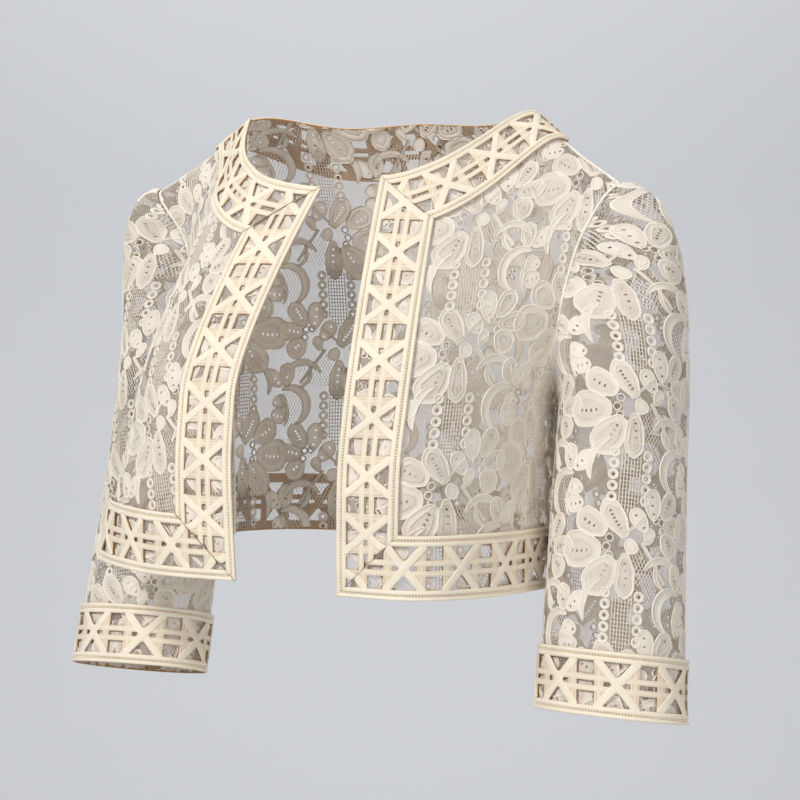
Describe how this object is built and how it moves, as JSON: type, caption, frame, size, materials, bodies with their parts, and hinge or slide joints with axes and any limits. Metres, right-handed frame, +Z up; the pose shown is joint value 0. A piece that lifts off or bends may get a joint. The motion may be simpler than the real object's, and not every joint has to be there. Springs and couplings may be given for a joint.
{
  "type": "open-front lace bolero jacket",
  "caption": "Cropped collarless open-front jacket in floral lace with elbow sleeves gathered at the head and cutwork braid round neck, fronts, hem and cuffs.",
  "frame": {"origin": "middle of the neck opening at the height of the two neck points, where the jacket hangs on its wearer's shoulders", "axes": "-Y out of the jacket's front, +X towards the wearer's left, +Z up"},
  "size_m": [0.4685, 0.2444, 0.4083],
  "materials": {
    "ivory_lace": "ivory floral lace, dull thread",
    "cream_braid": "warm cream corded braid, dull thread"
  },
  "bodies": {
    "root": {"front_left": "ivory_lace", "front_right": "ivory_lace", "back": "ivory_lace", "sleeve_left": "ivory_lace", "sleeve_right": "ivory_lace", "neck_band": "cream_braid", "front_band_left": "cream_braid", "front_band_right": "cream_braid", "hem_band_left": "cream_braid", "hem_band_back": "cream_braid", "hem_band_right": "cream_braid", "cuff_band_left_front": "cream_braid", "cuff_band_left_back": "cream_braid", "cuff_band_right_front": "cream_braid", "cuff_band_right_back": "cream_braid"}
  },
  "joints": []
}
